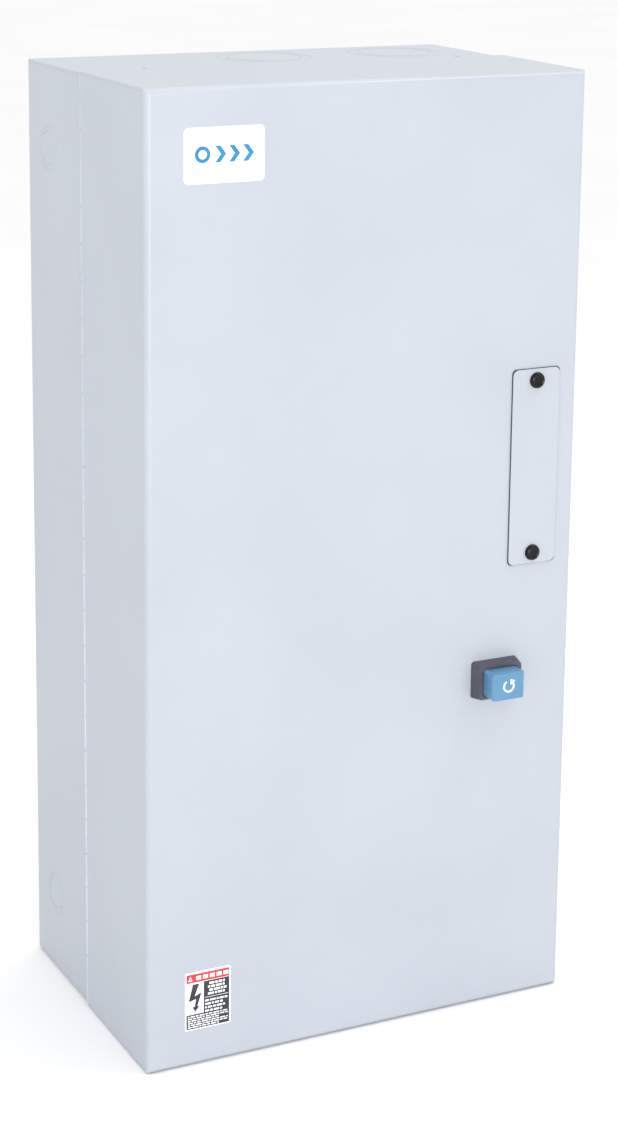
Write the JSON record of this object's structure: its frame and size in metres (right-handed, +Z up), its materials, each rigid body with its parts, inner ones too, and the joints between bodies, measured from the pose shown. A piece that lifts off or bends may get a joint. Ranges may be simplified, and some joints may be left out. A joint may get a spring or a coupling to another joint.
{
  "type": "magnetic motor starter",
  "caption": "Wall-mounted motor starter: tall painted steel box with a hinged wrap-around cover, side reset button, and a contactor with overload relay inside.",
  "frame": {"origin": "centre of the back face, where the enclosure meets the wall, midway between the four wall holes", "axes": "+X to the right seen from the front, +Y from the front of the cover towards the wall, +Z up"},
  "size_m": [0.3038, 0.223, 0.62],
  "materials": {
    "painted_steel": "baked enamel, light blue-grey",
    "zinc_plate": "zinc plated",
    "steel_laminations": "ground laminated steel",
    "black_phenolic": "moulded",
    "dark_moulding": "moulded",
    "bezel_plastic": "moulded",
    "fastener_plastic": "moulded",
    "blue_plastic": "moulded",
    "natural_nylon": "moulded",
    "coil_tape": "varnished tape",
    "copper_bar": "plain copper",
    "terminal_brass": "plated brass",
    "tinned_lug": "tin plated",
    "heater_body": "moulded phenolic",
    "red_plastic": "moulded",
    "label_film": "printed film",
    "wire_insulation": "extruded PVC",
    "green_screw": "green lacquer",
    "white_plastic": "moulded",
    "spring_steel": "drawn wire"
  },
  "bodies": {
    "enclosure": {"back_box": "painted_steel", "lip_frame": "painted_steel", "hinge_box_leaf": "painted_steel", "hinge_pin": "zinc_plate", "standoffs": "zinc_plate", "mounting_plate": "zinc_plate", "plate_screws": "zinc_plate", "ground_lug": "terminal_brass", "ground_screw": "green_screw", "contactor_base": "black_phenolic", "contactor_screws": "zinc_plate", "magnet_core": "steel_laminations", "coil_bobbin": "natural_nylon", "coil_winding": "coil_tape", "contactor_housing": "dark_moulding", "housing_screws": "zinc_plate", "line_contacts": "copper_bar", "load_contacts": "copper_bar", "line_lugs": "tinned_lug", "line_lug_screws": "zinc_plate", "coil_terminals": "terminal_brass", "coil_terminal_screws": "zinc_plate", "return_springs": "spring_steel", "aux_contact_block": "dark_moulding", "relay_base": "black_phenolic", "relay_cover": "dark_moulding", "relay_screws": "zinc_plate", "heater_packs": "heater_body", "heater_screws": "zinc_plate", "load_straps": "copper_bar", "load_lugs": "tinned_lug", "load_lug_screws": "zinc_plate", "relay_terminals": "terminal_brass", "relay_terminal_screws": "zinc_plate", "control_wires": "wire_insulation"},
    "cover": {"cover": "painted_steel", "hinge_cover_leaf": "painted_steel", "pilot_plate": "painted_steel", "plate_fasteners": "fastener_plastic", "front_label": "label_film", "hazard_label": "label_film", "wiring_label": "label_film", "reset_bezel": "bezel_plastic", "bezel_clip": "spring_steel", "reset_spring": "spring_steel", "cover_nuts": "zinc_plate"},
    "reset_button": {"reset_button": "blue_plastic", "reset_rod": "white_plastic"},
    "upper_cover_screw": {"cover_screw_upper": "zinc_plate"},
    "lower_cover_screw": {"cover_screw_lower": "zinc_plate"},
    "contact_carrier": {"armature": "steel_laminations", "crossbar": "red_plastic", "moving_contacts": "copper_bar", "contact_springs": "spring_steel"},
    "relay_plunger": {"relay_reset_plunger": "blue_plastic"},
    "test_button": {"test_button": "red_plastic"},
    "mode_selector": {"mode_selector": "white_plastic"},
    "current_dial": {"current_dial": "white_plastic"}
  },
  "joints": [
    {"name": "cover_hinge", "type": "hinge", "parent": "enclosure", "child": "cover", "pos_m": [-0.1482, -0.098, 0], "axis": [0, 0, -1], "range_deg": [0, 110]},
    {"name": "upper_screw_turn", "type": "hinge", "parent": "cover", "child": "upper_cover_screw", "pos_m": [0.15, -0.107, 0.2], "axis": [1, 0, 0], "continuous": true},
    {"name": "lower_screw_turn", "type": "hinge", "parent": "cover", "child": "lower_cover_screw", "pos_m": [0.15, -0.107, -0.2], "axis": [1, 0, 0], "continuous": true},
    {"name": "reset_press", "type": "slide", "parent": "cover", "child": "reset_button", "axis": [0, 1, 0], "range_m": [0, 0.006], "stiffness_N_per_m": 300, "springref_m": -0.006, "deforming": ["reset_spring"]},
    {"name": "relay_reset", "type": "slide", "parent": "enclosure", "child": "relay_plunger", "axis": [0, 1, 0], "range_m": [0, 0.006]},
    {"name": "contactor_close", "type": "slide", "parent": "enclosure", "child": "contact_carrier", "axis": [0, 1, 0], "range_m": [0, 0.008], "stiffness_N_per_m": 900, "springref_m": -0.006, "deforming": ["return_springs"]},
    {"name": "test_press", "type": "slide", "parent": "enclosure", "child": "test_button", "axis": [0, 1, 0], "range_m": [0, 0.003], "stiffness_N_per_m": 200, "springref_m": -0.004},
    {"name": "mode_turn", "type": "hinge", "parent": "enclosure", "child": "mode_selector", "pos_m": [0.048, -0.109, -0.0825], "axis": [0, -1, 0], "range_deg": [0, 90]},
    {"name": "current_turn", "type": "hinge", "parent": "enclosure", "child": "current_dial", "pos_m": [0.025, -0.109, -0.0825], "axis": [0, -1, 0], "range_deg": [-135, 135]}
  ],
  "couplings": [
    {"joint": "relay_reset", "follows": "reset_press", "ratio": 1}
  ]
}
